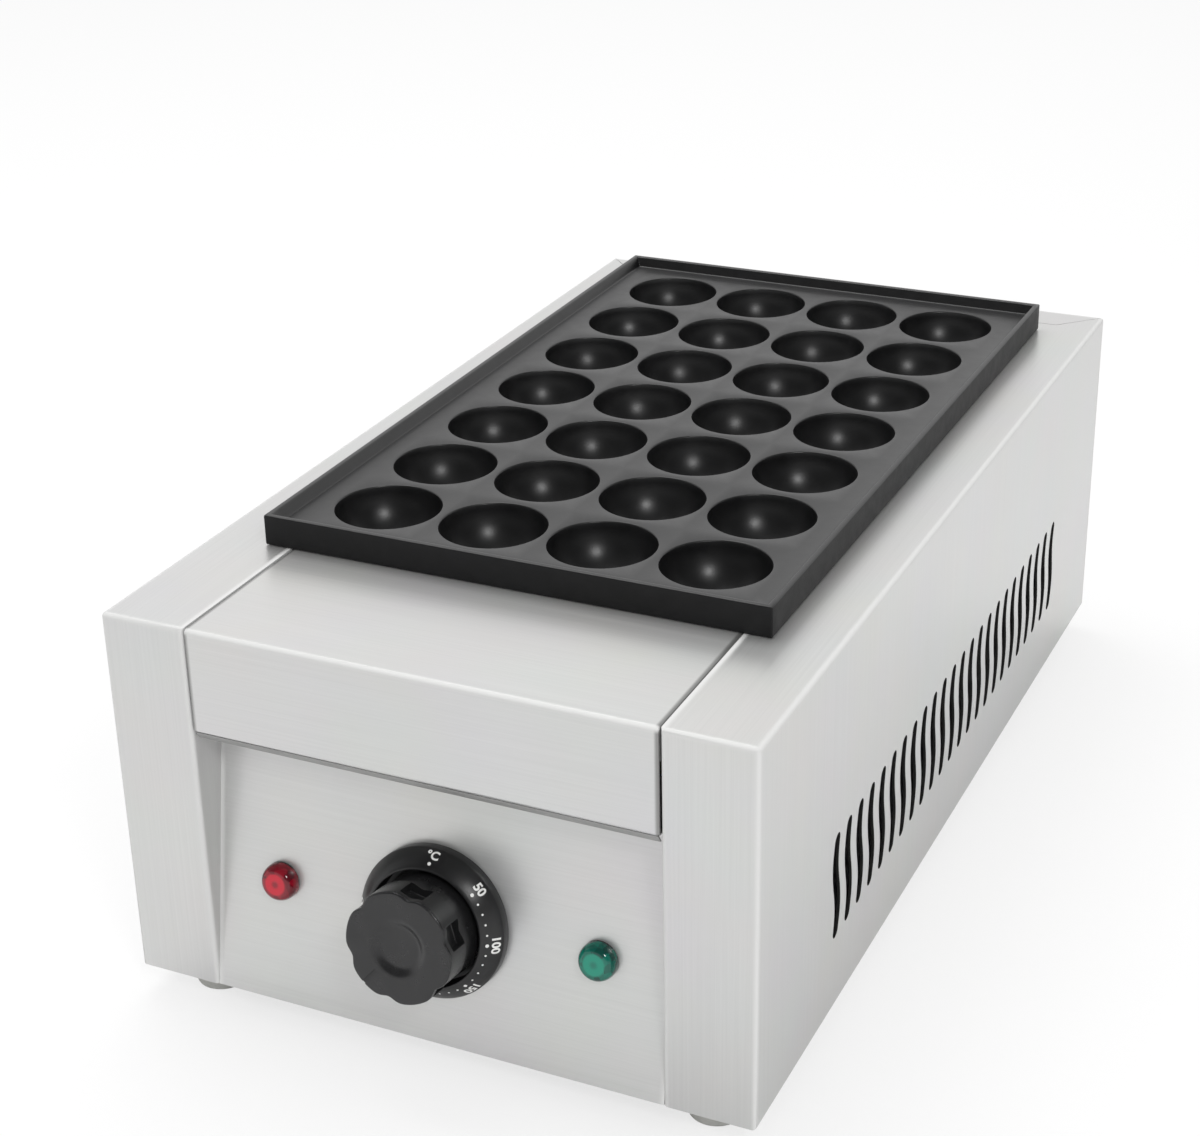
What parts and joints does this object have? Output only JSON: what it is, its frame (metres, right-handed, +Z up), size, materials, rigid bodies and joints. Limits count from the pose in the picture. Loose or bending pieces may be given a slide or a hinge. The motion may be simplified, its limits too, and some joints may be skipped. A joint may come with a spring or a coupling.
{
  "type": "takoyaki maker",
  "caption": "Countertop electric takoyaki maker: stainless housing with sloping control panel, lift-off black cast pan with a grid of round cups, dial knob and two lamps.",
  "frame": {"origin": "on the surface that the part stands on, under the middle of the housing, which is the bottom centre of the whole part", "axes": "+Z up, -Y towards the user at the control panel, +X to the user's right"},
  "size_m": [0.232, 0.4478, 0.1603],
  "materials": {
    "brushed_stainless": "brushed stainless sheet with bright folded edges",
    "plain_steel": "plain mill-finish sheet",
    "black_nonstick": "cast aluminium with black non-stick coating",
    "mineral_wool": "loose mineral wool slab",
    "element_sheath": "heat-darkened steel sheath",
    "brass_fittings": "turned brass",
    "copper": "drawn copper",
    "phenolic": "moulded phenolic",
    "dial_black": "satin black moulding with white numbers",
    "black_bakelite": "matt black thermoset moulding",
    "zinc_steel": "bright zinc-plated steel",
    "lamp_plastic": "black nylon",
    "red_lens": "clear red lens",
    "green_lens": "clear green lens",
    "foot_rubber": "grey rubber",
    "gland_plastic": "black nylon",
    "seal_rubber": "black rubber",
    "ceramic_white": "glazed steatite block",
    "brown_lead": "brown silicone lead",
    "blue_lead": "blue silicone lead",
    "green_lead": "green and yellow silicone lead"
  },
  "bodies": {
    "housing": {"left_side_cover": "brushed_stainless", "right_side_cover": "brushed_stainless", "top_cover": "brushed_stainless", "rear_cover": "brushed_stainless", "control_panel": "brushed_stainless", "base_plate": "plain_steel", "heating_tray": "plain_steel", "insulation_slab": "mineral_wool", "heat_shield": "plain_steel", "heating_element_left": "element_sheath", "heating_element_right": "element_sheath", "element_fittings": "brass_fittings", "element_rack_front": "plain_steel", "element_rack_rear": "plain_steel", "sensing_bulb": "copper", "temperature_limiter": "phenolic", "dial_ring": "dial_black", "thermostat_body": "phenolic", "thermostat_screws": "zinc_steel", "red_lamp_housing": "lamp_plastic", "red_lamp_lens": "red_lens", "red_lamp_nut": "lamp_plastic", "green_lamp_housing": "lamp_plastic", "green_lamp_lens": "green_lens", "green_lamp_nut": "lamp_plastic", "foot_front_left": "foot_rubber", "foot_rear_left": "foot_rubber", "foot_front_right": "foot_rubber", "foot_rear_right": "foot_rubber", "foot_bolts": "zinc_steel", "foot_nuts": "zinc_steel", "rear_screws": "zinc_steel", "base_screws": "zinc_steel", "panel_screws": "zinc_steel", "gland_body": "gland_plastic", "gland_seal": "seal_rubber", "gland_cap": "gland_plastic", "gland_lock_nut": "gland_plastic", "terminal_block": "ceramic_white", "terminal_screws": "brass_fittings", "earth_stud": "brass_fittings", "earth_nuts": "brass_fittings", "lead_live": "brown_lead", "lead_neutral": "blue_lead", "lead_switched": "brown_lead", "lead_bridge": "blue_lead", "lead_earth": "green_lead", "lead_red_lamp": "blue_lead", "lead_green_lamp": "blue_lead", "capillary_tube": "copper", "lead_saddles": "lamp_plastic"},
    "pan": {"pan": "black_nonstick"},
    "knob": {"knob": "black_bakelite", "thermostat_shaft": "zinc_steel"}
  },
  "joints": [
    {"name": "pan_lift", "type": "slide", "parent": "housing", "child": "pan", "axis": [0, 0, 1], "range_m": [0, 0.06]},
    {"name": "knob_turn", "type": "hinge", "parent": "housing", "child": "knob", "pos_m": [0, -0.20489, 0.05694], "axis": [0, -0.9857, 0.1686], "range_deg": [-45, 219]}
  ]
}
